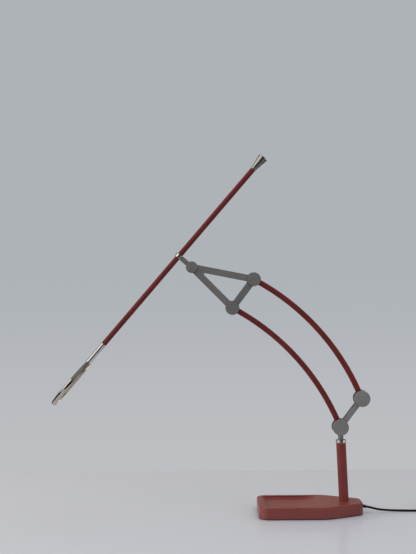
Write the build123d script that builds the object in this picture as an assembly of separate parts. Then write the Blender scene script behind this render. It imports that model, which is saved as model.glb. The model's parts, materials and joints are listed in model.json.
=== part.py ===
"""Architect lamp: two arched arms carry a triangle frame, a long rod and a ring head over a tray base."""

from build123d import *
import math
import os

# Driving dimensions in millimetres and degrees.
# X runs along the base to the cord end, Y away from the viewer and Z up from the desk.

# Clearances
fit_gap = 0.03  # radial, between pieces that are fixed together
run_gap = 0.05  # radial, between a pin and its bush
open_gap = 0.10  # extra, at the pivot that closes the parallelogram
face_gap = 0.05  # between faces that slide on each other
free_gap = 0.3  # between pieces that only lie side by side
over = 1.0  # how far a cutter runs past the face it opens

# Base
base_left = 164.0  # from the post to the tray end
base_right = 33.0  # from the post to the cord end
base_half_width = 58.0
base_end_half_width = 22.0
base_taper_start = 36.0  # from the post, towards the tray
base_height = 22.5  # with the pad
base_left_radius = 18.0
base_taper_radius = 40.0
base_end_radius = 15.0
base_edge_radius = 3.0
pad_thickness = 1.5
pad_inset = 1.5

# Tray
tray_depth = 5.0
tray_rim = 9.0  # width of the rim round the tray
tray_slope = 10.0  # length of the sloping wall at the tray end
tray_flat = 56.0  # length of the level floor
tray_ramp = 42.0  # length of the ramp back to the top face
tray_corner = 3.0

# Wiring pocket under the base
pocket_left = 112.0
pocket_right = 16.0
pocket_half_width = 17.0
pocket_top = 9.5
pocket_corner = 5.0
plate_thickness = 1.5
plate_margin = 6.0
plate_screw_radius = 1.4
plate_screw_head = 1.2  # added to the shank's radius
plate_screw_length = 8.0

# LED driver in the pocket
board_length = 62.0
board_half_width = 14.0
board_thickness = 1.6
board_left = 104.0
driver_part_height = 4.2
transformer_length = 17.0
transformer_width = 15.0
choke_radius = 5.0
capacitor_radius = 4.0

# Post and swivel
post_lean = 2.5  # towards the tray
post_radius = 9.1
post_bore = 6.5
post_foot = 14.0  # bottom of the post, along its axis
post_ring_radius = 9.6
post_ring_height = 5.8
post_ring_spigot = 4.0
post_plug_height = 16.0
post_plug_end = 3.0  # closed end over the screw
post_screw_radius = 4.0
post_screw_head = 6.0
post_screw_head_height = 4.5
post_screw_tip_gap = 1.0
post_screw_socket = 3.0
post_screw_socket_depth = 2.5
post_web = 4.2
bush_length = 33.0
spindle_radius = 4.0
clip_radius = 5.9
clip_thickness = 1.1
clip_groove = 0.8
neck_radius = 5.1
pivot_height = 162.65  # first arm pivot, along the post axis
pivot_reach = 29.65  # from the top of the post to that pivot

# Arms
link_length = 67.5  # between the two arms, pivot to pivot
link_angle = 52.8
arm_span = 304.0  # pivot to pivot
arm_angle = 131.8
arm_radius = 443.3  # of the arch
arm_width = 10.4
arm_depth = 13.0
arm_corner = 3.8
arm_wall = 1.6
eye_radius = 8.5
lead_radius = 1.4
lead_margin = 0.04  # share of the arch left free at each end of the lead

# Pivots
pin_radius = 3.0
pin_bush_radius = 4.5
washer_radius = 9.0
washer_thickness = 0.8
cheek_thickness = 3.2
cheek_edge = 0.8
bolt_head_radius = 5.5
bolt_head_height = 1.5
nut_flats = 10.0
cap_thickness = 2.4
cap_recess_radius = 6.4
cap_recess_depth = 1.7
cap_edge = 0.8

# Bracket
bracket_disc = 15.0
bracket_bar = 8.7
tongue_half_width = 8.0
tongue_height = 5.0
rivet_radius = 1.2
rivet_spread = 4.5

# Triangle frame
head_reach = 108.6  # from the lower arm pivot to the head pivot
head_angle = 134.6
triangle_bar = 12.6
triangle_disc = 13.1
triangle_head_disc = 11.0
triangle_corner = 2.0

# Head link
rod_angle = 49.12
link_offset = 32.1  # from the head pivot to the rod axis
link_neck_radius = 4.6
link_eye_radius = 7.8
collar_radius = 6.6
collar_length = 7.2
collar_edge = 0.5
collar_bush_wall = 0.6
collar_stem_radius = 2.5
collar_stem_length = 8.0

# Rod, cone and neck
rod_radius = 5.0
rod_bore = 3.5
rod_below = 218.8  # from the collar to the lower end
rod_above = 216.2  # from the collar to the upper end
spigot_length = 12.0
cone_length = 29.5
cone_start_radius = 4.8
cone_end_radius = 9.3
cone_edge = 0.5
switch_bore = 5.0
switch_depth = 12.0
button_proud = 1.2
button_travel = 1.0
button_length = 5.8
chrome_neck_radius = 4.75
chrome_neck_length = 44.3
wire_bore = 1.5
wire_sleeve_wall = 0.8

# Ring head
ring_radius = 52.0
ring_inner_radius = 34.0
ring_height = 9.8
ring_drop = 1.0  # from the rod axis to the middle of the ring, towards the light side
ring_wall = 3.6
ring_web = 2.0
ring_round = 3.9  # of the ring section
diffuser_recess = 0.8
diffuser_thickness = 1.6
diffuser_ledge = 0.8
led_board_thickness = 1.4
led_count = 40
led_side = 2.8
led_height = 0.8

# Cord
cord_radius = 2.0
gland_tilt = 10.0
gland_exit_height = 12.8
gland_radius = 3.2
gland_inside = 17.0
gland_outside = 9.0
gland_tip_radius = 2.5
gland_flange_radius = 4.4
gland_flange = 2.0
cord_arc_share = 0.45  # of the shorter run that an arc may take
cord_first_run = 8.0  # straight out of the gland
cord_route = [
    (60.0, 0.7, 6.7),
    (73.0, 2.2, 4.5),
    (90.0, 4.4, 3.0),
    (109.0, 5.6, 2.3),
    (129.0, 4.8, 2.1),
    (149.0, 2.2, 2.5),
]
cord_last_run = 17.0  # straight into the coil
coil_x = 186.0
coil_radius = 27.5  # of the outer turn in the first layer
coil_step = 4.5  # between turns and between layers
coil_half_turns = 22
coil_half_turns_to_reverse = 5
coil_lift = 3.2  # centre of the first layer over the desk
tie_width = 5.0
tie_thickness = 0.7
tie_corner = 2.0
tail_route = [  # from the coil's end
    (20.0, 0.0, 0.0),
    (37.0, -0.8, -3.6),
    (54.0, -2.0, -11.1),
]
plug_start = 68.0  # from the coil's centre line
plug_length = 33.0
plug_taper = 18.15  # length over which it widens
plug_neck_half_width = 5.0
plug_half_width = 13.0
plug_thickness = 11.0
plug_corner = 2.5
plug_edge = 1.5
plug_pin_radius = 2.0
plug_pin_length = 19.0
plug_pin_spread = 9.0


def polar(length, angle):
    """A vector in the arm plane, its angle counted from +X towards +Z."""
    turn = math.radians(angle)
    return Vector(length * math.cos(turn), 0, length * math.sin(turn))


# Places that the pieces share
post_top = pivot_height - pivot_reach
post_axis = polar(1, 90 + post_lean)
post_frame = Plane(origin=(0, 0, 0), x_dir=polar(1, post_lean), z_dir=post_axis)
pivot_a = post_axis * pivot_height
pivot_b = pivot_a + polar(link_length, link_angle)
pivot_c = pivot_a + polar(arm_span, arm_angle)
pivot_d = pivot_b + polar(arm_span, arm_angle)
pivot_e = pivot_c + polar(head_reach, head_angle)
rod_centre = pivot_e + polar(link_offset, rod_angle + 90)
rod_frame = Plane(origin=rod_centre, x_dir=polar(1, rod_angle), z_dir=polar(1, rod_angle + 90))
cheek_inside = arm_depth / 2 + washer_thickness + face_gap
cheek_outside = cheek_inside + cheek_thickness
ring_centre = -rod_below - chrome_neck_length - ring_radius
ring_place = Pos(ring_centre, 0, -ring_drop)
gland_axis = polar(1, -gland_tilt)
gland_exit = Vector(base_right, 0, gland_exit_height)
coil_top = coil_lift + 3 * coil_step


def upright(radius, low, high):
    """A cylinder along Z from low to high."""
    return Pos(0, 0, low) * Cylinder(radius, high - low, align=(Align.CENTER, Align.CENTER, Align.MIN))


def along_x(radius, low, high):
    """A cylinder along X from low to high."""
    return Rot(0, 90, 0) * upright(radius, low, high)


def across(point, radius, low, high):
    """A cylinder along Y at a point of the arm plane, from y low to y high."""
    return Pos(point.X, 0, point.Z) * Rot(-90, 0, 0) * upright(radius, low, high)


def in_arm_plane(point):
    """A place for a sketch in the arm plane, drawn with X to the right and Z up."""
    return Pos(point.X, point.Z)


def front_and_rear(front):
    """A front piece and its mirror image behind the arm plane."""
    return [front, mirror(front, about=Plane.XZ)]


# Base


def base_outline():
    corners = [
        (-base_left, -base_half_width),
        (-base_taper_start, -base_half_width),
        (base_right, -base_end_half_width),
        (base_right, base_end_half_width),
        (-base_taper_start, base_half_width),
        (-base_left, base_half_width),
    ]
    outline = Polygon(*corners, align=None)
    outline = fillet(outline.vertices().group_by(Axis.X)[-1], base_end_radius)
    at_taper = [v for v in outline.vertices() if abs(v.X + base_taper_start) < 1e-6]
    outline = fillet(at_taper, base_taper_radius)
    return fillet(outline.vertices().group_by(Axis.X)[0], base_left_radius)


def tray_cutter():
    """The hollow of the tray: a sloping end wall, a level floor and a ramp up to the top face."""
    rim_x = -base_left + tray_rim
    floor_x = rim_x + tray_slope
    ramp_x = floor_x + tray_flat
    floor_z = base_height - tray_depth
    ramp_radius = (tray_ramp**2 + tray_depth**2) / (2 * tray_depth)
    end_x = ramp_x + math.sqrt(ramp_radius**2 - (ramp_radius - 2 * tray_depth) ** 2)
    start_x = rim_x - tray_slope
    top_z = base_height + tray_depth
    ramp = TangentArc((ramp_x, floor_z), (end_x, top_z), tangent=(1, 0))
    rest = Polyline((end_x, top_z), (start_x, top_z), (floor_x, floor_z), (ramp_x, floor_z))
    half_width = base_half_width - tray_rim
    profile = Plane.XZ.offset(-half_width) * make_face([ramp, rest])
    hollow = extrude(profile, amount=2 * half_width)
    walls = hollow.faces().group_by(Axis.Y)
    sides = walls[0].edges() + walls[-1].edges()
    return fillet([e for e in sides if e.center().Z < top_z - 1e-3], tray_corner)


def pocket_outline(margin):
    length = pocket_left + pocket_right + 2 * margin
    middle = (pocket_right - pocket_left) / 2
    return Pos(middle, 0) * RectangleRounded(length, 2 * (pocket_half_width + margin), pocket_corner)


def plate_screw_places():
    x_places = [-pocket_left - plate_margin / 2, pocket_right + plate_margin / 2]
    y_place = pocket_half_width - pocket_corner
    return [Pos(x, y) for x in x_places for y in (-y_place, y_place)]


def make_base_casting():
    body = extrude(Pos(0, 0, pad_thickness) * base_outline(), amount=base_height - pad_thickness)
    body = fillet(body.faces().sort_by(Axis.Z)[-1].edges(), base_edge_radius)
    body -= tray_cutter()
    plate_top = pad_thickness + plate_thickness
    plate_seat = Pos(0, 0, pad_thickness) * pocket_outline(plate_margin + fit_gap)
    body -= extrude(plate_seat, amount=plate_thickness)
    body -= extrude(Pos(0, 0, plate_top) * pocket_outline(0), amount=pocket_top - plate_top)
    body -= post_frame * upright(post_radius + fit_gap, post_foot, 2 * base_height)
    seat = post_foot - post_web
    body -= post_frame * upright(post_screw_radius + free_gap, 0, post_foot + over)
    body -= post_frame * upright(post_screw_head + free_gap, 0, seat)
    inner_end = gland_exit - gland_axis * gland_inside
    gland_room = 2 * (gland_flange_radius + free_gap)
    chamber_height = inner_end.Z + gland_flange_radius + free_gap - plate_top
    chamber = Box(gland_room, gland_room, chamber_height, align=(Align.CENTER, Align.CENTER, Align.MIN))
    body -= Pos(inner_end.X, 0, plate_top) * chamber
    bore = upright(gland_radius + fit_gap, -gland_inside, gland_outside)
    body -= Plane(origin=gland_exit, z_dir=gland_axis) * bore
    screw_end = pad_thickness + plate_screw_length + free_gap
    for place in plate_screw_places():
        body -= place * upright(plate_screw_radius + fit_gap, 0, screw_end)
    return body


def make_base_pad():
    return extrude(offset(base_outline(), -pad_inset), amount=pad_thickness)


def plate_screw(gap):
    low = pad_thickness
    head = Pos(0, 0, low) * Cone(
        plate_screw_radius + plate_screw_head + gap,
        plate_screw_radius + gap,
        plate_thickness,
        align=(Align.CENTER, Align.CENTER, Align.MIN),
    )
    return head + upright(plate_screw_radius + gap, low, low + plate_screw_length)


def make_base_plate():
    plate = extrude(Pos(0, 0, pad_thickness) * pocket_outline(plate_margin), amount=plate_thickness)
    for place in plate_screw_places():
        plate -= place * plate_screw(fit_gap)
    return plate


def make_driver():
    """The driver's circuit board and, on it, its transformer, choke and capacitor."""
    low = pad_thickness + plate_thickness
    middle = board_length / 2 - board_left
    board = Pos(middle, 0, low) * Box(
        board_length, 2 * board_half_width, board_thickness, align=(Align.CENTER, Align.CENTER, Align.MIN)
    )
    top = low + board_thickness
    seated = (Align.CENTER, Align.CENTER, Align.MIN)
    block = Box(transformer_length, transformer_width, driver_part_height, align=seated)
    transformer = Pos(middle + board_length / 6, 0, top) * block
    coil = Cylinder(choke_radius, driver_part_height, align=seated)
    choke = Pos(middle - board_length / 8, board_half_width / 3, top) * coil
    can = Cylinder(capacitor_radius, driver_part_height, align=seated)
    capacitor = Pos(middle - board_length / 3, 0, top) * can
    return board, [transformer, choke, capacitor]


# Post


def make_post():
    tube = upright(post_radius, post_foot, post_top) - upright(post_bore, post_foot - over, post_top + over)
    return post_frame * tube


def make_post_plug():
    high = post_foot + post_plug_height
    plug = upright(post_bore - fit_gap, post_foot, high)
    plug -= upright(post_screw_radius + fit_gap, post_foot - over, high - post_plug_end)
    return post_frame * plug


def make_post_screw():
    seat = post_foot - post_web
    tip = post_foot + post_plug_height - post_plug_end - post_screw_tip_gap
    shank = upright(post_screw_radius, seat, tip)
    low = seat - post_screw_head_height
    head = upright(post_screw_head, low, seat)
    socket = extrude(Pos(0, 0, low) * RegularPolygon(post_screw_socket, 6), amount=post_screw_socket_depth)
    return post_frame * (shank + head - socket)


def make_post_ring():
    ring = upright(post_ring_radius, post_top, post_top + post_ring_height)
    ring = fillet(ring.edges(), cap_edge)
    ring += upright(post_bore - fit_gap, post_top - post_ring_spigot, post_top + cap_edge)
    low = post_top - post_ring_spigot - over
    ring -= upright(spindle_radius + free_gap, low, post_top + post_ring_height + over)
    return post_frame * ring


def make_swivel_bush():
    high = post_top - post_ring_spigot
    low = high - bush_length
    bush = upright(post_bore - fit_gap, low, high)
    return post_frame * (bush - upright(spindle_radius + run_gap, low - over, high + over))


def clip_low():
    return post_top - post_ring_spigot - bush_length - face_gap - clip_thickness


def make_bracket_stem():
    """The tongue between the cheeks, the neck under it and the spindle that turns in the post."""
    shoulder = post_top + post_ring_height + face_gap
    tongue_low = pivot_height - bracket_disc
    seated = (Align.CENTER, Align.CENTER, Align.MIN)
    tongue = Box(2 * tongue_half_width, 2 * cheek_inside, tongue_height, align=seated)
    tongue = Pos(0, 0, tongue_low) * tongue
    tongue &= across(Vector(0, 0, pivot_height), bracket_disc - free_gap, -cheek_inside, cheek_inside)
    neck = upright(neck_radius, shoulder, tongue_low + tongue_height / 2)
    spindle = upright(spindle_radius, clip_low() - 2 * clip_thickness, shoulder)
    groove_high = clip_low() + clip_thickness
    groove = upright(2 * spindle_radius, clip_low(), groove_high)
    groove -= upright(spindle_radius - clip_groove, clip_low(), groove_high)
    stem = tongue + neck + (spindle - groove)
    for x in (-rivet_spread, rivet_spread):
        hole = Vector(x, 0, tongue_low + tongue_height / 2)
        stem -= across(hole, rivet_radius + fit_gap, -cheek_outside, cheek_outside)
    return post_frame * stem


def make_swivel_clip():
    inner = spindle_radius - clip_groove + fit_gap
    low = clip_low() + fit_gap
    high = clip_low() + clip_thickness - fit_gap
    clip = upright(clip_radius, low, high) - upright(inner, low - over, high + over)
    clip -= Pos(clip_radius, 0, low) * Box(2 * clip_radius, inner, 4 * clip_thickness)
    return post_frame * clip


def rivet_points():
    low = pivot_height - bracket_disc + tongue_height / 2
    places = [Vector(x, 0, low) for x in (-rivet_spread, rivet_spread)]
    return [post_frame.from_local_coords(place) for place in places]


def make_stem_rivets():
    return [across(point, rivet_radius, -cheek_outside, cheek_outside) for point in rivet_points()]


# Pivot hardware


def make_bolt(point):
    """A pivot bolt with its head in front."""
    shank = across(point, pin_radius, -cheek_outside, cheek_outside + bolt_head_height)
    head = across(point, bolt_head_radius, -cheek_outside - bolt_head_height, -cheek_outside)
    return shank + head


def make_nut(point):
    hexagon = RegularPolygon(nut_flats / 2, 6, major_radius=False) - Circle(pin_radius + fit_gap)
    behind = Plane.XZ.offset(-cheek_outside)
    return extrude(behind * in_arm_plane(point) * hexagon, amount=-bolt_head_height)


def make_caps(point, radius):
    """Cover caps over the bolt head in front and the nut behind."""
    outer = -cheek_outside - cap_thickness
    cap = across(point, radius, outer, -cheek_outside)
    cap = fillet(cap.edges().group_by(Axis.Y)[0], cap_edge)
    cap -= across(point, cap_recess_radius, -cheek_outside - cap_recess_depth, -cheek_outside)
    return front_and_rear(cap)


def make_washers(point):
    low = -cheek_inside
    high = -cheek_inside + washer_thickness
    ring = across(point, washer_radius, low, high)
    ring -= across(point, pin_radius + open_gap, low - over, high + over)
    return front_and_rear(ring)


def make_bush(point, gap):
    half = arm_depth / 2
    bush = across(point, pin_bush_radius, -half, half)
    return bush - across(point, pin_radius + gap, -half - over, half + over)


def make_plates(outline, points):
    """The front and rear plates of one outline, bored for the pins."""
    plate = extrude(Plane.XZ.offset(cheek_inside) * outline, amount=cheek_thickness)
    plate = fillet(plate.faces().sort_by(Axis.Y)[0].edges(), cheek_edge)
    for point in points:
        plate -= across(point, pin_radius + fit_gap, -cheek_outside - over, -cheek_inside + over)
    return front_and_rear(plate)


# Bracket


def make_bracket_cheeks():
    middle = (pivot_a + pivot_b) / 2
    bar = in_arm_plane(middle) * Rot(0, 0, link_angle) * Rectangle(link_length, bracket_bar)
    outline = bar
    for point in (pivot_a, pivot_b):
        outline += in_arm_plane(point) * Circle(bracket_disc)
    cheeks = make_plates(outline, (pivot_a, pivot_b))
    past = cheek_outside + over
    holes = [across(p, rivet_radius + fit_gap, -past, past) for p in rivet_points()]
    return [cheek - holes for cheek in cheeks]


# Arms


def arch(start, section, from_turn, to_turn):
    """A section swept along the arch that starts at a pivot, between two shares of its turn."""
    half_turn = math.degrees(math.asin(arm_span / (2 * arm_radius)))
    first = arm_angle - 90 - half_turn
    centre = start - polar(arm_radius, first)
    angle = first + 2 * half_turn * from_turn
    place = Plane(centre + polar(arm_radius, angle), x_dir=polar(1, angle), z_dir=polar(1, angle + 90))
    axis = Axis(centre, (0, -1, 0))
    return revolve(place * section, axis=axis, revolution_arc=2 * half_turn * (to_turn - from_turn))


def make_arm(start):
    """A hollow arched bar with an eye at each end."""
    half = arm_depth / 2
    points = (start, start + polar(arm_span, arm_angle))
    arm = arch(start, RectangleRounded(arm_width, arm_depth, arm_corner), 0, 1)
    for point in points:
        arm += across(point, eye_radius, -half, half)
    inner_corner = arm_corner - arm_wall
    hollow = RectangleRounded(arm_width - 2 * arm_wall, arm_depth - 2 * arm_wall, inner_corner)
    arm -= arch(start, hollow, 0, 1)
    for point in points:
        arm -= across(point, pin_bush_radius + fit_gap, -half - over, half + over)
    return arm


def make_arm_lead():
    """The supply lead along the outer wall of the front arm."""
    offset_out = arm_width / 2 - arm_wall - lead_radius - free_gap
    return arch(pivot_a, Pos(offset_out, 0) * Circle(lead_radius), lead_margin, 1 - lead_margin)


# Triangle frame


def make_triangle_plates():
    corners = [(p.X, p.Z) for p in (pivot_e, pivot_c, pivot_d)]
    lines = Polygon(*corners, align=None)
    opening = offset(lines, -triangle_bar / 2, kind=Kind.INTERSECTION)
    opening = fillet(opening.vertices(), triangle_corner)
    outline = offset(lines, triangle_bar / 2)
    for point, radius in triangle_discs():
        outline += in_arm_plane(point) * Circle(radius)
    return make_plates(outline - opening, (pivot_c, pivot_d, pivot_e))


def triangle_discs():
    return [(pivot_c, triangle_disc), (pivot_d, triangle_disc), (pivot_e, triangle_head_disc)]


# Head link, drawn in the rod's own frame with the rod along X


def make_head_link():
    half = arm_depth / 2
    eye = Vector(0, 0, -link_offset)
    neck = upright(link_neck_radius, -link_offset, 0)
    neck -= along_x(collar_radius + fit_gap, -2 * collar_radius, 2 * collar_radius)
    link = neck & upright(2 * link_neck_radius, -link_offset, -collar_radius / 2)
    link += across(eye, link_eye_radius, -half, half)
    stem_end = -collar_radius - collar_stem_length
    link -= upright(collar_stem_radius + fit_gap, stem_end - fit_gap, 0)
    link -= across(eye, pin_bush_radius + fit_gap, -half - over, half + over)
    return rod_frame * link


def make_rod_collar():
    half = collar_length / 2
    ring = along_x(collar_radius, -half, half)
    ring = fillet(ring.edges(), collar_edge)
    ring += upright(collar_stem_radius, -collar_radius - collar_stem_length, 0)
    ring -= along_x(rod_radius + collar_bush_wall, -collar_length, collar_length)
    return rod_frame * ring


def make_collar_bush():
    half = collar_length / 2
    bush = along_x(rod_radius + collar_bush_wall - fit_gap, -half, half)
    return rod_frame * (bush - along_x(rod_radius + run_gap, -collar_length, collar_length))


# Rod and head, drawn in the rod's own frame


def make_rod():
    tube = along_x(rod_radius, -rod_below, rod_above)
    return rod_frame * (tube - along_x(rod_bore, -rod_below - over, rod_above + over))


def make_rod_lead():
    drop = rod_bore - lead_radius - free_gap
    end = spigot_length + free_gap
    return rod_frame * (Pos(0, 0, -drop) * along_x(lead_radius, end - rod_below, rod_above - end))


def make_rod_cone():
    profile = [
        (rod_above - spigot_length, 0),
        (rod_above - spigot_length, rod_bore - fit_gap),
        (rod_above, rod_bore - fit_gap),
        (rod_above, cone_start_radius),
        (rod_above + cone_length, cone_end_radius),
        (rod_above + cone_length, 0),
    ]
    cone = revolve(Plane.XZ * Polygon(*profile, align=None), axis=Axis.X)
    end = rod_above + cone_length
    cone = fillet(cone.edges().group_by(Axis.X)[-1], cone_edge)
    cone -= along_x(switch_bore, end - switch_depth, end + over)
    cone -= along_x(wire_bore, rod_above - spigot_length - over, end)
    return rod_frame * cone


def make_switch_body():
    end = rod_above + cone_length
    high = end + button_proud - button_length - button_travel - face_gap
    return rod_frame * along_x(switch_bore - fit_gap, end - switch_depth, high)


def make_switch_button():
    high = rod_above + cone_length + button_proud
    button = along_x(switch_bore - free_gap, high - button_length, high)
    button = fillet(button.edges().group_by(Axis.X)[-1], cap_edge)
    return rod_frame * button


def make_chrome_neck():
    ring_edge = -rod_below - chrome_neck_length
    wall_inside = ring_edge - ring_wall
    neck = along_x(chrome_neck_radius, wall_inside, -rod_below) - ring_blank(fit_gap)
    neck += along_x(rod_bore - fit_gap, -rod_below - over, spigot_length - rod_below)
    neck += along_x(wire_bore + wire_sleeve_wall, wall_inside + fit_gap, ring_edge + over)
    neck -= along_x(wire_bore, wall_inside - over, spigot_length - rod_below + over)
    return rod_frame * neck


def ring_blank(gap):
    """The ring head before it is hollowed, grown by a gap."""
    width = ring_radius - ring_inner_radius + 2 * gap
    section = RectangleRounded(width, ring_height + 2 * gap, ring_round + gap)
    middle = (ring_radius + ring_inner_radius) / 2
    return ring_place * revolve(Plane.XZ * Pos(middle, 0) * section, axis=Axis.Z)


def ring_of(outer, inner, low, high):
    """A flat ring of the head, at its place on the rod."""
    return ring_place * (upright(outer, low, high) - upright(inner, low - over, high + over))


def diffuser_high():
    return -ring_height / 2 + diffuser_recess + diffuser_thickness


def make_ring_housing():
    """A round-edged ring with a channel on the light's side and a ledge for the diffuser."""
    half = ring_height / 2
    outside = ring_radius - ring_wall
    inside = ring_inner_radius + ring_wall
    room_outside = outside - diffuser_ledge
    mouth = ring_of(outside, inside, -half - over, diffuser_high())
    room = ring_of(room_outside, inside + diffuser_ledge, diffuser_high() - over, half - ring_web)
    sleeve = wire_bore + wire_sleeve_wall + fit_gap
    wire_hole = along_x(sleeve, ring_centre + room_outside - over, ring_centre + ring_radius + over)
    return rod_frame * (ring_blank(0) - mouth - room - wire_hole)


def make_led_board():
    high = ring_height / 2 - ring_web
    outer = ring_radius - ring_wall - diffuser_ledge - free_gap
    inner = ring_inner_radius + ring_wall + diffuser_ledge + free_gap
    return rod_frame * ring_of(outer, inner, high - led_board_thickness, high)


def make_led_chips():
    high = ring_height / 2 - ring_web - led_board_thickness
    middle = (ring_radius + ring_inner_radius) / 2
    chip = Box(led_side, led_side, led_height, align=(Align.CENTER, Align.CENTER, Align.MAX))
    turns = [360 * (k + 0.5) / led_count for k in range(led_count)]
    places = [ring_place * Rot(0, 0, turn) * Pos(middle, 0, high) for turn in turns]
    return [rod_frame * place * chip for place in places]


def make_diffuser():
    outer = ring_radius - ring_wall - fit_gap
    inner = ring_inner_radius + ring_wall + fit_gap
    return rod_frame * ring_of(outer, inner, diffuser_high() - diffuser_thickness, diffuser_high())


# Cord


def make_cord_gland():
    """The strain relief: a plug through the base's end wall and a tapering sleeve outside."""
    profile = [
        (0, -gland_inside),
        (gland_flange_radius, -gland_inside),
        (gland_flange_radius, -gland_inside + gland_flange),
        (gland_radius, -gland_inside + gland_flange),
        (gland_radius, 0),
        (gland_tip_radius, gland_outside),
        (0, gland_outside),
    ]
    gland = revolve(Plane.XZ * Polygon(*profile, align=None), axis=Axis.Z)
    return Plane(origin=gland_exit, z_dir=gland_axis) * gland


def tube_along(points, name):
    """A cord along straight runs joined by arcs as large as the runs allow."""
    points = [Vector(p) for p in points]
    radii = []
    for before, corner, after in zip(points, points[1:], points[2:]):
        turn = math.radians((corner - before).get_angle(after - corner))
        shorter = min((corner - before).length, (after - corner).length)
        radii.append(cord_arc_share * shorter / math.tan(turn / 2))
    path = FilletPolyline(*points, radius=radii)
    start = Plane(origin=points[0], z_dir=points[1] - points[0])
    tube = sweep(start * Circle(cord_radius), path=path)
    share = tube.volume / (math.pi * cord_radius**2 * path.length)
    print(name, "length", round(path.length, 1), "volume share", round(share, 4))
    print(name, "radii", [round(r) for r in radii])
    return tube


def make_mains_cord():
    start = gland_exit + gland_axis * gland_outside
    first = start + gland_axis * cord_first_run
    end = Vector(coil_x - 2 * cord_radius, 0, coil_lift)
    last = end - Vector(cord_last_run, 0, 0)
    return tube_along([start, first, *cord_route, last, end], "mains_cord")


def coil_edges():
    """Half turns that spiral in and out again, climbing a layer where the spiral reverses."""
    place = Vector(coil_x, 0, coil_lift)
    edges = [Line(place - Vector(2 * cord_radius, 0, 0), place)]
    count = coil_half_turns_to_reverse
    for k in range(coil_half_turns):
        last = k == coil_half_turns - 1
        steps = -1 if last else count - abs(k % (2 * count) - count)
        radius = coil_radius - steps * coil_step / 2
        side = 1 if k % 2 == 0 else -1
        climbs = k % count == 0 and 0 < k < coil_half_turns - 2
        rise = coil_step if climbs else 0
        target = place + Vector(0, 2 * side * radius, rise)
        reach = (target - place).length / 2
        middle = (place + target) / 2 + Vector(side * reach, 0, 0)
        for start, end, heading in ((place, middle, Vector(side, 0, 0)), (middle, target, target - place)):
            edges.append(TangentArc(start, end, tangent=heading))
        place = target
    edges.append(Line(place, place + Vector(2 * cord_radius, 0, 0)))
    return edges, place


def least_self_gap(path):
    """The least distance between stretches of the coil, less the cord's thickness."""
    spacing = cord_radius / 2
    count = round(path.length / spacing)
    points = [tuple(path.position_at(k / count)) for k in range(count + 1)]
    apart = round(3 * math.pi * cord_radius / spacing)
    least = min(math.dist(a, b) for i, a in enumerate(points) for b in points[i + apart :])
    return least - 2 * cord_radius


def make_cord_coil():
    edges, end = coil_edges()
    path = Wire(edges)
    start = Plane(origin=path.position_at(0), z_dir=(1, 0, 0))
    coil = sweep(start * Circle(cord_radius), path=path)
    share = coil.volume / (math.pi * cord_radius**2 * path.length)
    print("cord_coil length", round(path.length, 1), "volume share", round(share, 4))
    print("cord_coil least self gap", round(least_self_gap(path), 3))
    return coil, end


def make_coil_tie():
    """A band round the coil's turns, on the side away from the lamp."""
    turns = coil_half_turns_to_reverse - coil_half_turns_to_reverse % 2
    outer = coil_radius + cord_radius + 1.5 * free_gap
    inner_turn = coil_radius - turns * coil_step / 2 - cord_radius
    reach = coil_step + tie_width / 2
    inner = math.sqrt(inner_turn**2 - reach**2) - free_gap
    low = tie_thickness
    high = coil_top + cord_radius + free_gap
    wide = outer - inner
    tall = high - low
    band = RectangleRounded(wide + 2 * tie_thickness, tall + 2 * tie_thickness, tie_corner)
    band -= RectangleRounded(wide, tall, tie_corner - tie_thickness)
    middle_y = coil_radius + coil_step
    place = Plane.XZ.offset(-middle_y - tie_width / 2)
    at = Pos(coil_x + (outer + inner) / 2, (high + low) / 2)
    return extrude(place * at * band, amount=tie_width)


def plug_entry(end):
    across_y, drop = tail_route[-1][1:]
    return end + Vector(plug_start, across_y, drop)


def make_cord_tail(end):
    start = end + Vector(2 * cord_radius, 0, 0)
    route = [end + Vector(*p) for p in tail_route]
    return tube_along([start, *route, plug_entry(end)], "cord_tail")


def make_plug(end):
    """A flat two-pin plug, lying beside the coil."""
    entry = plug_entry(end)
    outline = Polygon(
        (0, -plug_neck_half_width),
        (plug_taper, -plug_half_width),
        (plug_length, -plug_half_width),
        (plug_length, plug_half_width),
        (plug_taper, plug_half_width),
        (0, plug_neck_half_width),
        align=None,
    )
    outline = fillet(outline.vertices(), plug_corner)
    low = entry.Z - plug_thickness / 2
    body = extrude(Pos(entry.X, entry.Y, low) * outline, amount=plug_thickness)
    rims = body.faces().sort_by(Axis.Z)
    body = fillet(rims[0].edges() + rims[-1].edges(), plug_edge)
    pin = along_x(plug_pin_radius, plug_length, plug_length + plug_pin_length)
    pin = fillet(pin.edges().group_by(Axis.X)[-1], plug_pin_radius / 2)
    pins = [Pos(entry.X, entry.Y + y, entry.Z) * pin for y in (-plug_pin_spread, plug_pin_spread)]
    return body, pins


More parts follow.
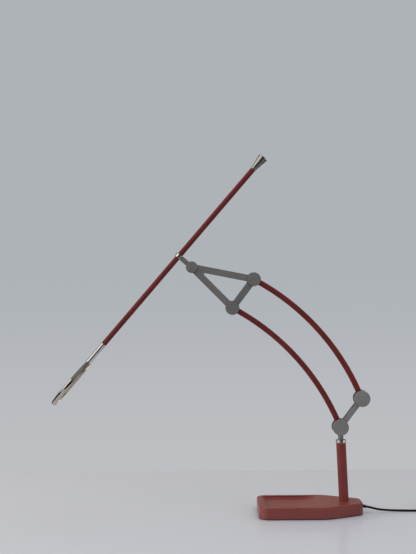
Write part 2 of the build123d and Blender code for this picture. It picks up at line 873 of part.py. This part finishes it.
def build():
    """Every node of the lamp, by name."""
    nodes = {}
    nodes["base_casting"] = make_base_casting()
    nodes["base_pad"] = make_base_pad()
    nodes["base_plate"] = make_base_plate()
    nodes["plate_screws"] = [place * plate_screw(0) for place in plate_screw_places()]
    nodes["driver_board"], nodes["driver_parts"] = make_driver()
    nodes["post"] = make_post()
    nodes["post_plug"] = make_post_plug()
    nodes["post_screw"] = make_post_screw()
    nodes["post_ring"] = make_post_ring()
    nodes["swivel_bush"] = make_swivel_bush()

    nodes["bracket_stem"] = make_bracket_stem()
    nodes["swivel_clip"] = make_swivel_clip()
    nodes["stem_rivets"] = make_stem_rivets()
    nodes["bracket_front_cheek"], nodes["bracket_rear_cheek"] = make_bracket_cheeks()
    low_pivots = (pivot_a, pivot_b)
    nodes["bracket_bolts"] = [make_bolt(p) for p in low_pivots]
    nodes["bracket_nuts"] = [make_nut(p) for p in low_pivots]
    nodes["bracket_washers"] = [w for p in low_pivots for w in make_washers(p)]
    nodes["bracket_caps"] = [c for p in low_pivots for c in make_caps(p, bracket_disc)]

    nodes["front_arm"] = make_arm(pivot_a)
    nodes["front_arm_bushes"] = [make_bush(p, run_gap) for p in (pivot_a, pivot_c)]
    nodes["front_arm_lead"] = make_arm_lead()
    nodes["rear_arm"] = make_arm(pivot_b)
    nodes["rear_arm_bushes"] = [make_bush(pivot_b, run_gap), make_bush(pivot_d, run_gap + open_gap)]

    nodes["triangle_front_plate"], nodes["triangle_rear_plate"] = make_triangle_plates()
    high_pivots = (pivot_c, pivot_d, pivot_e)
    nodes["triangle_bolts"] = [make_bolt(p) for p in high_pivots]
    nodes["triangle_nuts"] = [make_nut(p) for p in high_pivots]
    nodes["triangle_washers"] = [w for p in high_pivots for w in make_washers(p)]
    nodes["triangle_caps"] = [c for p, r in triangle_discs() for c in make_caps(p, r)]

    nodes["head_link"] = make_head_link()
    nodes["head_link_bush"] = make_bush(pivot_e, run_gap)
    nodes["rod_collar"] = make_rod_collar()
    nodes["collar_bush"] = make_collar_bush()
    nodes["rod"] = make_rod()
    nodes["rod_lead"] = make_rod_lead()
    nodes["rod_cone"] = make_rod_cone()
    nodes["switch_body"] = make_switch_body()
    nodes["switch_button"] = make_switch_button()
    nodes["chrome_neck"] = make_chrome_neck()
    nodes["ring_housing"] = make_ring_housing()
    nodes["led_board"] = make_led_board()
    nodes["led_chips"] = make_led_chips()
    nodes["diffuser"] = make_diffuser()

    nodes["cord_gland"] = make_cord_gland()
    nodes["mains_cord"] = make_mains_cord()
    nodes["cord_coil"], coil_end = make_cord_coil()
    nodes["coil_tie"] = make_coil_tie()
    nodes["cord_tail"] = make_cord_tail(coil_end)
    nodes["plug_body"], nodes["plug_pins"] = make_plug(coil_end)
    return nodes


def main():
    os.makedirs("parts", exist_ok=True)
    for name, shape in build().items():
        whole = Compound(children=shape) if isinstance(shape, list) else shape
        export_step(whole, f"parts/{name}.step")
    for name, point in (("A", pivot_a), ("B", pivot_b), ("C", pivot_c), ("D", pivot_d), ("E", pivot_e)):
        print("pivot", name, round(point.X, 3), round(point.Z, 3))
    print("rod centre", round(rod_centre.X, 3), round(rod_centre.Z, 3))


main()
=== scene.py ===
"""Looks of the architect lamp: its finishes, mains cord, desk, studio light and camera."""

import json
import math

import bpy
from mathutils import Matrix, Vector


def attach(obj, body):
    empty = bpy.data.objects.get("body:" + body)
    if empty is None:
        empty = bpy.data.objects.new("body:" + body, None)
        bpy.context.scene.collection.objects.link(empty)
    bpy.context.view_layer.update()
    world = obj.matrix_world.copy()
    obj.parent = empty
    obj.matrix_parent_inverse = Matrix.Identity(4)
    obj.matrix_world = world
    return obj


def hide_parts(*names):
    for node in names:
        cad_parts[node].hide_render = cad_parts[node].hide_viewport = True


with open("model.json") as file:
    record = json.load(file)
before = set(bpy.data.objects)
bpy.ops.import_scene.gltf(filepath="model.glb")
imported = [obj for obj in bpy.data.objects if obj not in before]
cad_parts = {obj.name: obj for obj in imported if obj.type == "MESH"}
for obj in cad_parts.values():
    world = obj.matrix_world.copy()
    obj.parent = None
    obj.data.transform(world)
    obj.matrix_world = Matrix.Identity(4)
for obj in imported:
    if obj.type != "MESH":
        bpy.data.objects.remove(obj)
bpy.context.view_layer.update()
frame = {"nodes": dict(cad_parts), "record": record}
cad = frame["nodes"]

# The lamp head, as the CAD has it: how far the rod leans up from level, and the middle of the ring in metres.
rod_lean = math.radians(49.12)
ring_middle = (-0.51648, 0.0, 0.24921)
led_count = 40

# The mains cord, in millimetres: the gland's mouth in the base, the cord's way out and the back of the plug.
gland_mouth = (33.0, 0.0, 12.8)
gland_droop = math.radians(10)
cord_exit = (41.863, 0.0, 11.237)
cord_thickness = 4.0
plug_back, plug_middle = 254.0, 2.5


def chart(red, green, blue):
    """A colour from a paint chart, 0 to 255, as light."""
    parts = [part / 255 for part in (red, green, blue)]
    light = [part / 12.92 if part <= 0.04045 else ((part + 0.055) / 1.055) ** 2.4 for part in parts]
    return (*light, 1.0)


def millimetres(x, y, z):
    return Vector((x, y, z)) / 1000


class Value:
    """A socket of a finish; arithmetic on it adds Math nodes."""

    def __init__(self, finish, socket):
        self.finish = finish
        self.socket = socket

    def __add__(self, other):
        return self.finish.math("ADD", self, other)

    __radd__ = __add__

    def __sub__(self, other):
        return self.finish.math("SUBTRACT", self, other)

    def __rsub__(self, other):
        return self.finish.math("SUBTRACT", other, self)

    def __mul__(self, other):
        return self.finish.math("MULTIPLY", self, other)

    __rmul__ = __mul__


class Finish:
    """A material, or the world, built from nodes."""

    def __init__(self, owner):
        self.owner = owner
        owner.use_nodes = True
        self.tree = owner.node_tree
        self.tree.nodes.clear()

    def node(self, kind, settings, sockets):
        """A node of a kind, its settings first, then the values or links of its sockets."""
        made = self.tree.nodes.new("ShaderNode" + kind)
        for name, setting in settings.items():
            setattr(made, name, setting)
        for name, value in sockets.items():
            if isinstance(value, Value):
                self.tree.links.new(value.socket, made.inputs[name])
            else:
                made.inputs[name].default_value = value
        return made

    def out(self, kind, settings, sockets, output=0):
        """One output of a new node."""
        return Value(self, self.node(kind, settings, sockets).outputs[output])

    def math(self, operation, *values):
        return self.out("Math", {"operation": operation}, dict(enumerate(values)))

    def step(self, value, low, high):
        """0 below low, 1 above high and smooth between them."""
        sockets = {"Value": value, "From Min": low, "From Max": high}
        return self.out("MapRange", {"interpolation_type": "SMOOTHSTEP"}, sockets)

    def place(self):
        return self.out("TexCoord", {}, {}, "Object")

    def noise(self, size, detail=2.0, stretch=(1, 1, 1), distortion=0.0):
        """Cloudy noise around 0.5 whose lumps are about size metres across."""
        spread = self.out("VectorMath", {"operation": "MULTIPLY"}, {0: self.place(), 1: stretch})
        sockets = {"Vector": spread, "Scale": 1 / size, "Detail": detail, "Distortion": distortion}
        return self.out("TexNoise", {}, sockets, "Fac")

    def mix(self, amount, plain, other):
        """The colour plain, with amount of the colour other."""
        return self.out("Mix", {"data_type": "RGBA"}, {0: amount, 6: plain, 7: other}, 2)

    def dot(self, vector, other):
        sockets = {0: vector, 1: other}
        return self.out("VectorMath", {"operation": "DOT_PRODUCT"}, sockets, "Value")

    def round_normal(self, radius):
        """The surface's direction with its edges rounded off."""
        return self.out("Bevel", {"samples": 6}, {"Radius": radius})

    def edges(self, radius):
        """1 along outer edges and corners, 0 on open faces."""
        rounded = self.round_normal(radius)
        facing = self.out("NewGeometry", {}, {}, "Normal")
        return self.step(1 - self.dot(rounded, facing), 0.02, 0.2)

    def bump(self, height, depth, under=None):
        """The surface's direction with a relief of a depth in metres, over the direction under."""
        sockets = {"Height": height, "Distance": depth, "Strength": 1.0}
        if under is not None:
            sockets["Normal"] = under
        return self.out("Bump", {}, sockets)

    def surface(self, **sockets):
        named = {name.replace("_", " "): value for name, value in sockets.items()}
        shader = self.out("BsdfPrincipled", {}, named)
        self.node("OutputMaterial", {}, {"Surface": shader})
        return self.owner


def new_finish(name):
    return Finish(bpy.data.materials.new(name))


def satin_enamel(name, colour, deep, worn, gloss, edge_radius):
    """Sprayed satin paint: a fine fleck, a faint orange peel, cloudy film and thin wear along the edges."""
    cloud_size, peel_size, dust_size, wear_size = 0.035, 0.0016, 0.0005, 0.006
    peel_depth = 0.0001
    paint = new_finish(name)
    cloud = paint.noise(cloud_size, detail=3.0)
    peel = paint.noise(peel_size)
    dust = paint.noise(dust_size, detail=1.0)
    fleck = paint.step(dust, 0.5, 0.72)
    rub = paint.edges(edge_radius) * paint.step(paint.noise(wear_size, detail=4.0), 0.45, 0.68)
    film = paint.mix(paint.step(cloud, 0.35, 0.65), colour, deep)
    return paint.surface(
        Base_Color=paint.mix(rub * 0.35 + fleck * 0.09, film, worn),
        Roughness=gloss + (cloud - 0.5) * 0.12 + (dust - 0.5) * 0.1 - rub * 0.08,
        Normal=paint.bump(peel * 0.7 + dust * 0.3, peel_depth, paint.round_normal(edge_radius)),
        Specular_IOR_Level=0.18,
    )


def sand_cast_paint(name, colour, deep, worn):
    """Paint over a casting: a fine pebbled skin with scuffed edges under a thin clear coat; the scuffs are
    made wide and pale enough to be also a painted highlight along the edges.
    """
    cloud_size, pebble_size, fine_size, scuff_size = 0.05, 0.0011, 0.0004, 0.008
    scuff_width, pebble_depth = 0.0018, 0.00008
    paint = new_finish(name)
    cloud = paint.noise(cloud_size, detail=4.0)
    cells = paint.out("TexVoronoi", {}, {"Vector": paint.place(), "Scale": 1 / pebble_size}, "Distance")
    pebble = paint.step(cells, 0.1, 0.75)
    fine = paint.noise(fine_size)
    # Edge scuffs, partly wear and partly a painted highlight along the rounded edges.
    scuff = paint.edges(scuff_width) * paint.step(paint.noise(scuff_size, detail=4.0), 0.4, 0.66)
    film = paint.mix(paint.step(cloud, 0.3, 0.7), colour, deep)
    grain = paint.mix((1 - pebble) * 0.12, film, worn)
    return paint.surface(
        Base_Color=paint.mix(scuff * 0.6, grain, worn),
        Roughness=0.41 + (cloud - 0.5) * 0.15 + (fine - 0.5) * 0.12,
        Normal=paint.bump(pebble * 0.6 + fine * 0.4, pebble_depth),
        Specular_IOR_Level=0.6,
        Coat_Weight=0.3,
        Coat_Roughness=0.25,
    )


def bright_chrome(name, bright, dull, gloss, painted_glow_mask=None):
    """Plated chrome with faint polishing lines and finger marks, and a painted warm glow, the diffuser's
    light spilling on the rim, where the given mask is 1.
    """
    mark_size, line_size, line_depth = 0.012, 0.0004, 0.000004
    plate = new_finish(name)
    marks = plate.step(plate.noise(mark_size, detail=4.0, distortion=0.6), 0.52, 0.75)
    lines = plate.noise(line_size, stretch=(1, 0.05, 1))
    tone = plate.mix(marks * 0.25, bright, dull)
    if painted_glow_mask is not None:
        # Painted light: a warm tint that stands in for the diffuser's light spilling on the chrome next to
        # it.
        tone = plate.mix(painted_glow_mask(plate), tone, chart(186, 171, 152))
    return plate.surface(
        Base_Color=tone,
        Metallic=1.0,
        Roughness=gloss + marks * 0.09 + lines * 0.03,
        Normal=plate.bump(lines, line_depth),
    )


def turned_metal(name, colour, dull, gloss):
    """Turned or stamped metal with tool marks and dull patches."""
    patch_size, line_size, line_depth = 0.004, 0.0003, 0.00001
    metal = new_finish(name)
    patch = metal.step(metal.noise(patch_size, detail=4.0), 0.4, 0.7)
    lines = metal.noise(line_size, stretch=(0.1, 1, 0.1))
    return metal.surface(
        Base_Color=metal.mix(patch * 0.6, colour, dull),
        Metallic=1.0,
        Roughness=gloss + patch * 0.15 + lines * 0.1,
        Normal=metal.bump(lines, line_depth),
    )


def moulded(name, colour, pale, gloss, grain_size, depth, shine=0.3):
    """Moulded plastic or rubber with a fine spark-eroded grain and scuffed edges."""
    cloud_size, scuff_size, scuff_width = 0.02, 0.004, 0.0008
    plastic = new_finish(name)
    cloud = plastic.noise(cloud_size, detail=3.0)
    grain = plastic.noise(grain_size)
    scuff = plastic.edges(scuff_width) * plastic.step(plastic.noise(scuff_size, detail=3.0), 0.45, 0.7)
    return plastic.surface(
        Base_Color=plastic.mix(plastic.step(cloud, 0.3, 0.75) * 0.35 + scuff * 0.4, colour, pale),
        Roughness=gloss + (cloud - 0.5) * 0.15 + (grain - 0.5) * 0.12,
        Normal=plastic.bump(grain, depth),
        Specular_IOR_Level=shine,
    )


def ring_place(finish):
    """Where a point is in the lamp head: along the rod, across it, and toward the light side."""
    from_middle = finish.out("VectorMath", {"operation": "SUBTRACT"}, {0: finish.place(), 1: ring_middle})
    axes = (
        (math.cos(rod_lean), 0, math.sin(rod_lean)),
        (0, 1, 0),
        (math.sin(rod_lean), 0, -math.cos(rod_lean)),
    )
    return [finish.dot(from_middle, axis) for axis in axes]


def ring_light_side(plate):
    """1 on the half of the ring next to the diffuser, 0 on its back: where the chrome gets its painted warm
    glow.
    """
    _, _, height = ring_place(plate)
    return plate.step(height, 0.0005, 0.0035)


def opal_acrylic(name):
    """The diffuser, dimmed low: milky and warm, a little brighter over each chip."""
    cloud_size, grain_size, grain_depth = 0.01, 0.0005, 0.00001
    acrylic = new_finish(name)
    cloud = acrylic.noise(cloud_size)
    grain = acrylic.noise(grain_size, detail=1.0)
    along, across, _ = ring_place(acrylic)
    round_ring = acrylic.math("ARCTAN2", across, along)
    over_chips = 0.5 - 0.5 * acrylic.math("COSINE", round_ring * led_count)
    glow = over_chips * 0.8 + cloud * 0.2
    return acrylic.surface(
        Base_Color=acrylic.mix(cloud, chart(228, 222, 211), chart(220, 213, 201)),
        Roughness=0.42 + cloud * 0.1 + grain * 0.05,
        Normal=acrylic.bump(grain, grain_depth),
        Emission_Color=acrylic.mix(glow, chart(250, 230, 204), chart(255, 242, 222)),
        Emission_Strength=0.55,
    )


def led_phosphor(name):
    """Yellow phosphor over each chip."""
    phosphor = new_finish(name)
    cloud = phosphor.noise(0.0015)
    return phosphor.surface(
        Base_Color=phosphor.mix(cloud, chart(238, 208, 96), chart(246, 226, 140)),
        Roughness=0.4 + cloud * 0.2,
    )


def circuit_board(name, mask, copper):
    """Solder mask with the faint relief of tracks under it."""
    tracks_a_metre, track_depth, cloud_size = 160.0, 0.00003, 0.01
    board = new_finish(name)
    sockets = {"Vector": board.place(), "Scale": tracks_a_metre, "Mortar Size": 0.03}
    tracks = board.out("TexBrick", {}, sockets, "Fac")
    cloud = board.noise(cloud_size, detail=3.0)
    return board.surface(
        Base_Color=board.mix(tracks * 0.5 + cloud * 0.2, mask, copper),
        Roughness=0.35 + cloud * 0.15,
        Normal=board.bump(tracks, track_depth),
    )


finishes = {
    "red_paint": satin_enamel(
        "red_enamel", chart(93, 31, 28), chart(86, 28, 26), chart(138, 78, 70), 0.48, 0.0006
    ),
    "red_casting": sand_cast_paint("cast_red", chart(111, 39, 32), chart(104, 35, 29), chart(148, 88, 78)),
    "grey_paint": satin_enamel(
        "grey_enamel", chart(111, 109, 107), chart(104, 102, 100), chart(150, 148, 144), 0.5, 0.0009
    ),
    "chrome": bright_chrome("bright_chrome", chart(192, 192, 190), chart(168, 167, 163), 0.08),
    "steel": turned_metal("turned_steel", chart(176, 176, 174), chart(140, 138, 134), 0.28),
    "brass": turned_metal("plated_pin", chart(206, 196, 170), chart(176, 160, 120), 0.22),
    "nylon": moulded("bush_nylon", chart(214, 210, 198), chart(228, 225, 216), 0.48, 0.0006, 0.00003),
    "pad_rubber": moulded("pad_rubber", chart(18, 17, 17), chart(44, 42, 40), 0.75, 0.0005, 0.00008),
    "cord_rubber": moulded("cord_sheath", chart(6, 6, 7), chart(24, 24, 25), 0.52, 0.0005, 0.00006, 0.2),
    "black_plastic": moulded(
        "black_moulding", chart(17, 17, 18), chart(48, 47, 46), 0.42, 0.0004, 0.00004, 0.28
    ),
    "board_white": circuit_board("led_board_mask", chart(228, 228, 222), chart(206, 204, 190)),
    "board_green": circuit_board("driver_board_mask", chart(36, 84, 56), chart(70, 112, 74)),
    "driver_parts": moulded("driver_cans", chart(58, 60, 66), chart(96, 96, 100), 0.4, 0.0004, 0.00002),
    "led": led_phosphor("led_phosphor"),
    "opal": opal_acrylic("opal_acrylic"),
}

# A lighter, paler copy of the red enamel for the post: painted light, for the brighter light low down by the
# desk.
post_lit_enamel = satin_enamel(
    "post_lit_enamel", chart(108, 48, 44), chart(101, 45, 41), chart(144, 90, 80), 0.48, 0.0006
)
# A darker copy of the grey enamel for the triangle frame, its caps and the head link: painted shade, for the
# dimmer light up there.
frame_shaded_enamel = satin_enamel(
    "frame_shaded_enamel", chart(96, 94, 92), chart(89, 87, 86), chart(138, 136, 132), 0.5, 0.0009
)

# Nodes whose own finish differs a little from the others of their slot. The post's lighter red is painted
# light and the triangle frame's darker grey is painted shade; the ring's chrome has a painted warm glow.
own_finishes = {
    "rod_cone": bright_chrome("turned_chrome", chart(164, 162, 157), chart(146, 144, 139), 0.27),
    # The ring's chrome carries a painted warm glow on the half next to the diffuser.
    "ring_housing": bright_chrome(
        "ring_chrome", chart(186, 186, 185), chart(164, 163, 160), 0.08, ring_light_side
    ),
    "post": post_lit_enamel,
    "triangle_front_plate": frame_shaded_enamel,
    "triangle_rear_plate": frame_shaded_enamel,
    "triangle_caps": frame_shaded_enamel,
    "head_link": frame_shaded_enamel,
}


def finish_nodes():
    """Gives every CAD node its finish."""
    for subpart in frame["record"]["subparts"]:
        node = subpart["node"]
        finish = own_finishes.get(node, finishes[subpart["material_slot"]])
        for material_slot in cad[node].material_slots:
            material_slot.material = finish


def new_piece(name, points, faces, slot, body):
    """A mesh piece, drawn in millimetres, that moves with a body."""
    mesh = bpy.data.meshes.new(name)
    mesh.from_pydata([Vector(point) / 1000 for point in points], [], faces)
    mesh.materials.append(finishes[slot])
    mesh.shade_smooth()
    mesh.set_sharp_from_angle(angle=math.radians(35))
    piece = bpy.data.objects.new(name, mesh)
    bpy.context.scene.collection.objects.link(piece)
    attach(piece, body)
    return piece


def add_part(points, faces, part_points, part_faces):
    """Adds one closed part to the points and faces of a piece."""
    faces += [tuple(len(points) + corner for corner in face) for face in part_faces]
    points += part_points


def turned_ring(origin, axis, loop, sides):
    """Points and faces of a closed loop of (along, radius) turned round an axis."""
    spoke = axis.orthogonal().normalized()
    across = axis.cross(spoke)
    points, faces = [], []
    for k in range(sides):
        turn = 2 * math.pi * k / sides
        out = spoke * math.cos(turn) + across * math.sin(turn)
        points += [origin + axis * along + out * radius for along, radius in loop]
        here, there = k * len(loop), (k + 1) % sides * len(loop)
        for j in range(len(loop)):
            after = (j + 1) % len(loop)
            faces.append((here + j, there + j, there + after, here + after))
    return points, faces


def bar_faces(sections, corners):
    """Faces of a closed bar through rings of corners, with its two ends."""
    faces = []
    for k in range(sections - 1):
        here, there = k * corners, (k + 1) * corners
        for j in range(corners):
            after = (j + 1) % corners
            faces.append((here + j, here + after, there + after, there + j))
    last = (sections - 1) * corners
    faces.append(tuple(range(corners - 1, -1, -1)))
    faces.append(tuple(range(last, last + corners)))
    return faces


def make_gland_ribs():
    """Three flex ribs round the strain relief outside the base."""
    sleeve_radius, sleeve_taper, sleeve_length = 3.2, 0.7, 9.0
    half_round = [(-0.7, -0.3), (-0.62, 0.18), (-0.3, 0.42), (0.3, 0.42), (0.62, 0.18), (0.7, -0.3)]
    axis = Vector((math.cos(gland_droop), 0, -math.sin(gland_droop)))
    points, faces = [], []
    for middle in (1.9, 4.3, 6.7):
        sleeve = sleeve_radius - sleeve_taper * middle / sleeve_length
        loop = [(middle + along, sleeve + proud) for along, proud in half_round]
        add_part(points, faces, *turned_ring(Vector(gland_mouth), axis, loop, sides=40))
    new_piece("gland_ribs", points, faces, "black_plastic", "base")


def make_grub_screw():
    """The hex socket screw that sets how stiffly the rod turns in its collar."""
    rod_centre = Vector((-310.245, 0.0, 487.455))
    foot, shoulder, face, socket_floor = 5.9, 6.7, 6.84, 6.2
    thread_radius, face_radius, across_flats = 1.5, 1.36, 1.5
    sides, sixth = 36, math.pi / 3
    axis = Vector((-math.sin(rod_lean), 0, math.cos(rod_lean)))
    along_rod = Vector((math.cos(rod_lean), 0, math.sin(rod_lean)))
    across = axis.cross(along_rod)
    round_rings = [(foot, thread_radius), (shoulder, thread_radius), (face, face_radius)]
    hex_rings = [(face, None), (socket_floor, None)]
    points = []
    for height, radius in round_rings + hex_rings:
        for k in range(sides):
            turn = 2 * math.pi * k / sides
            from_flat = (turn + sixth / 2) % sixth - sixth / 2
            reach = radius or across_flats / 2 / math.cos(from_flat)
            out = along_rod * math.cos(turn) + across * math.sin(turn)
            points.append(rod_centre + axis * height + out * reach)
    faces = bar_faces(len(round_rings + hex_rings), sides)
    new_piece("collar_grub_screw", points, faces, "steel", "head_link")


def make_tie_end():
    """The free end of the coil's tie, folded down over the outside of the coil."""
    path = [(203.0, 20.15), (207.5, 20.2), (211.5, 20.15), (214.8, 19.7), (217.2, 18.5), (218.8, 16.6)]
    path += [(219.7, 14.2), (220.2, 11.6), (220.5, 9.2)]
    half_width, half_thick, middle = 2.3, 0.35, 32.0
    end_share, edge_radius = 0.7, 0.00018
    points = []
    for k, (x, z) in enumerate(path):
        before = Vector(path[max(k - 1, 0)])
        after = Vector(path[min(k + 1, len(path) - 1)])
        way = (after - before).normalized()
        up = Vector((-way.y, way.x)) * half_thick
        half = half_width * (end_share if k in (0, len(path) - 1) else 1)
        for side, face in ((-1, -1), (-1, 1), (1, 1), (1, -1)):
            points.append((x + up.x * face, middle + side * half, z + up.y * face))
    piece = new_piece("coil_tie_end", points, bar_faces(len(path), 4), "black_plastic", "base")
    rounded = piece.modifiers.new("worn_edge", "BEVEL")
    rounded.width = edge_radius
    rounded.segments = 2
    return piece


def make_plug_ridges():
    """Grip ridges across the top of the plug, each as long as the plug is wide there."""
    plug_top, back_half_width, flare, flare_length, margin = 11.1, 5.0, 8.0, 18.15, 2.4
    section = [(-0.7, -0.25), (-0.7, 0.05), (-0.45, 0.4), (0, 0.52), (0.45, 0.4), (0.7, 0.05), (0.7, -0.25)]
    stations = [(-1, 0.2), (-0.94, 0.75), (-0.85, 1), (0.85, 1), (0.94, 0.75), (1, 0.2)]
    points, faces = [], []
    for along in (6.0, 9.0, 12.0, 15.0):
        reach = back_half_width + flare * along / flare_length - margin
        ridge = []
        for share, size in stations:
            for x, z in section:
                rise = z * size if z > 0 else z
                ridge.append((plug_back + along + x * size, plug_middle + share * reach, plug_top + rise))
        add_part(points, faces, ridge, bar_faces(len(stations), len(section)))
    return new_piece("plug_grip_ridges", points, faces, "black_plastic", "base")


def coil_points():
    """The put-away cord: half turns that spiral in and out, climbing a layer where the spiral reverses."""
    outer_radius, pitch = 27.5, 4.5
    half_turns, turns_a_layer, points_a_turn = 22, 5, 10
    climbs = (5, 10, 15)
    last = half_turns - 1
    # Control points stand a little outside the round that the spline then draws.
    swell = 1 / math.cos(math.pi / points_a_turn / 2)
    place = Vector((186.0, 0.0, 3.2))
    points = []
    for turn in range(half_turns):
        inward = -1 if turn == last else turns_a_layer - abs(turn % (2 * turns_a_layer) - turns_a_layer)
        radius = outer_radius - inward * pitch / 2
        side = 1 if turn % 2 == 0 else -1
        rise = pitch if turn in climbs else 0.0
        across = Vector((0, 2 * side * radius, rise))
        middle = place + across / 2
        out = Vector((side * across.length / 2, 0, 0))
        for k in range(points_a_turn):
            angle = math.pi * ((k + 0.5) / points_a_turn - 0.5)
            points.append(middle + (out * math.cos(angle) + across / 2 * math.sin(angle)) * swell)
        place = place + across
    return points


def cord_points():
    """The cord's route from the gland along the desk, round the coil and into the plug."""
    run = [
        cord_exit,
        (49.741, 0.0, 9.848),
        (60.0, 0.7, 6.7),
        (73.0, 2.2, 4.5),
        (90.0, 4.4, 3.0),
        (109.0, 5.6, 2.3),
        (129.0, 4.8, 2.1),
        (149.0, 2.2, 2.5),
        (165.0, 0.0, 3.2),
        (182.0, 0.0, 3.2),
    ]
    tail = [
        (190.0, 4.5, 16.7),
        (206.0, 4.5, 16.7),
        (223.0, 3.7, 13.1),
        (240.0, 2.5, 5.6),
        (plug_back, plug_middle, 5.6),
    ]
    points = [Vector(point) for point in run] + coil_points() + [Vector(point) for point in tail]
    return [point / 1000 for point in points]


def make_cord():
    """The mains cord's smooth sheath, with its coil, and the tie and plug that go with it."""
    line = bpy.data.curves.new("mains_cord_line", "CURVE")
    line.dimensions = "3D"
    line.bevel_depth = cord_thickness / 2000
    line.bevel_resolution = 5
    line.resolution_u = 5
    line.use_fill_caps = True
    spline = line.splines.new("NURBS")
    points = cord_points()
    spline.points.add(len(points) - 1)
    for point, place in zip(spline.points, points):
        point.co = (*place, 1.0)
    spline.order_u = 3
    spline.use_endpoint_u = True
    cord = bpy.data.objects.new("mains_cord_sheath", line)
    bpy.context.scene.collection.objects.link(cord)
    line.materials.append(finishes["cord_rubber"])
    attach(cord, "base")
    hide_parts("mains_cord", "cord_coil", "cord_tail")
    make_tie_end()
    make_plug_ridges()


def desk_lacquer():
    """Pale lacquered desk top with a soft reflection."""
    lacquer = new_finish("desk_lacquer")
    cloud = lacquer.noise(0.4, detail=3.0)
    return lacquer.surface(
        Base_Color=lacquer.mix(cloud, chart(176, 177, 181), chart(172, 173, 178)),
        Roughness=0.18 + cloud * 0.05,
        Specular_IOR_Level=0.4,
    )


def make_desk():
    """A desk top that ends a little behind the lamp and an arm's length in front of it."""
    left, right, front, back, low = -0.8, 0.42, -0.7, 0.43, -0.0002
    corners = [(left, front, low), (right, front, low), (right, back, low), (left, back, low)]
    top = bpy.data.meshes.new("desk_top")
    top.from_pydata(corners, [], [(0, 1, 2, 3)])
    desk = bpy.data.objects.new("desk", top)
    bpy.context.scene.collection.objects.link(desk)
    top.materials.append(desk_lacquer())


def softbox(name, place, aim, size, watts, colour, mirrored=True):
    """An area light; one that isn't mirrored lights the paint but doesn't show in the chrome."""
    lamp = bpy.data.lights.new(name, "AREA")
    lamp.shape = "RECTANGLE"
    lamp.size, lamp.size_y = size
    lamp.energy = watts
    lamp.color = colour[:3]
    light = bpy.data.objects.new(name, lamp)
    bpy.context.scene.collection.objects.link(light)
    light.location = place
    light.visible_glossy = mirrored
    light.rotation_euler = (Vector(aim) - Vector(place)).to_track_quat("-Z", "Y").to_euler()


def make_lights():
    """Two tall windows on the left, which the chrome shows, and three soft fills, which it doesn't."""
    window, sky, lining = chart(255, 252, 246), chart(250, 252, 255), chart(255, 250, 244)
    lamp_middle = (-0.2, 0, 0.3)
    softbox("key_window", (-3.6, -1.0, 1.8), lamp_middle, size=(2.0, 3.2), watts=36, colour=window)
    softbox("front_window", (-2.7, -2.6, 1.8), lamp_middle, size=(2.0, 3.2), watts=19, colour=window)
    fills = (
        ("top_fill", (0.0, 0.2, 2.2), (-0.1, 0, 0.0), (2.4, 2.0), 20, sky),
        ("left_fill", (-2.4, 0.1, 0.6), (-0.1, 0, 0.1), (1.4, 1.4), 26, lining),
        ("right_fill", (1.3, -1.3, 0.7), (0.0, 0, 0.1), (1.2, 1.2), 7, sky),
    )
    for fill in fills:
        softbox(*fill, mirrored=False)


def make_world():
    """Soft light from above, a pale wall behind the lamp and a darker room for the chrome to show."""
    world = bpy.data.worlds.new("studio")
    bpy.context.scene.world = world
    room = Finish(world)
    toward = room.out("TexCoord", {}, {}, "Generated")
    parts = room.node("SeparateXYZ", {}, {"Vector": toward})
    right, back, up = [Value(room, parts.outputs[axis]) for axis in "XYZ"]
    rays = room.node("LightPath", {}, {})
    seen = Value(room, rays.outputs["Is Camera Ray"])
    through = Value(room, rays.outputs["Is Transmission Ray"])
    glossy = Value(room, rays.outputs["Is Glossy Ray"])
    wall = room.mix(room.step(up, -0.2, 0.02), chart(190, 191, 195), chart(174, 179, 184))
    ceiling = room.mix(room.step(up, 0.1, 0.6), chart(44, 44, 46), chart(140, 140, 142))
    wall_band = room.step(back, 0.1, 0.5) * room.step(up, -0.4, -0.15) * (1 - room.step(up, 0.4, 0.55))
    floor_side = room.step(right, 0.5, 0.8) * (1 - room.step(back, 0.1, 0.4))
    floor_band = floor_side * room.step(up, -0.35, -0.2) * (1 - room.step(up, -0.05, 0.05))
    mirrored = room.mix(wall_band, ceiling, chart(146, 141, 134))
    mirrored = room.mix(floor_band, mirrored, chart(250, 246, 238))
    ambient = room.mix(room.step(up, -0.1, 0.9), chart(196, 198, 202), chart(248, 250, 254))
    colour = room.mix(glossy, ambient, mirrored)
    colour = room.mix(room.math("MAXIMUM", seen, through), colour, wall)
    shader = room.out("Background", {}, {"Color": colour, "Strength": 1.0})
    room.node("OutputWorld", {}, {"Surface": shader})


def make_camera():
    """A long lens in front of the lamp, level with its triangle frame and rolled a fraction of a degree."""
    focal_length, film_width, farthest, roll = 66.955, 36.0, 50.0, 0.0066
    lens = bpy.data.cameras.new("photo_lens")
    lens.lens = focal_length
    lens.sensor_width = film_width
    lens.clip_end = farthest
    camera = bpy.data.objects.new("photo_camera", lens)
    bpy.context.scene.collection.objects.link(camera)
    camera.location = millimetres(-255.34, -1950.0, 447.72)
    camera.rotation_euler = (math.pi / 2, roll, 0)
    bpy.context.scene.camera = camera


finish_nodes()
make_gland_ribs()
make_grub_screw()
make_cord()
make_desk()
make_lights()
make_world()
make_camera()

bpy.context.scene.view_settings.view_transform = "Standard"
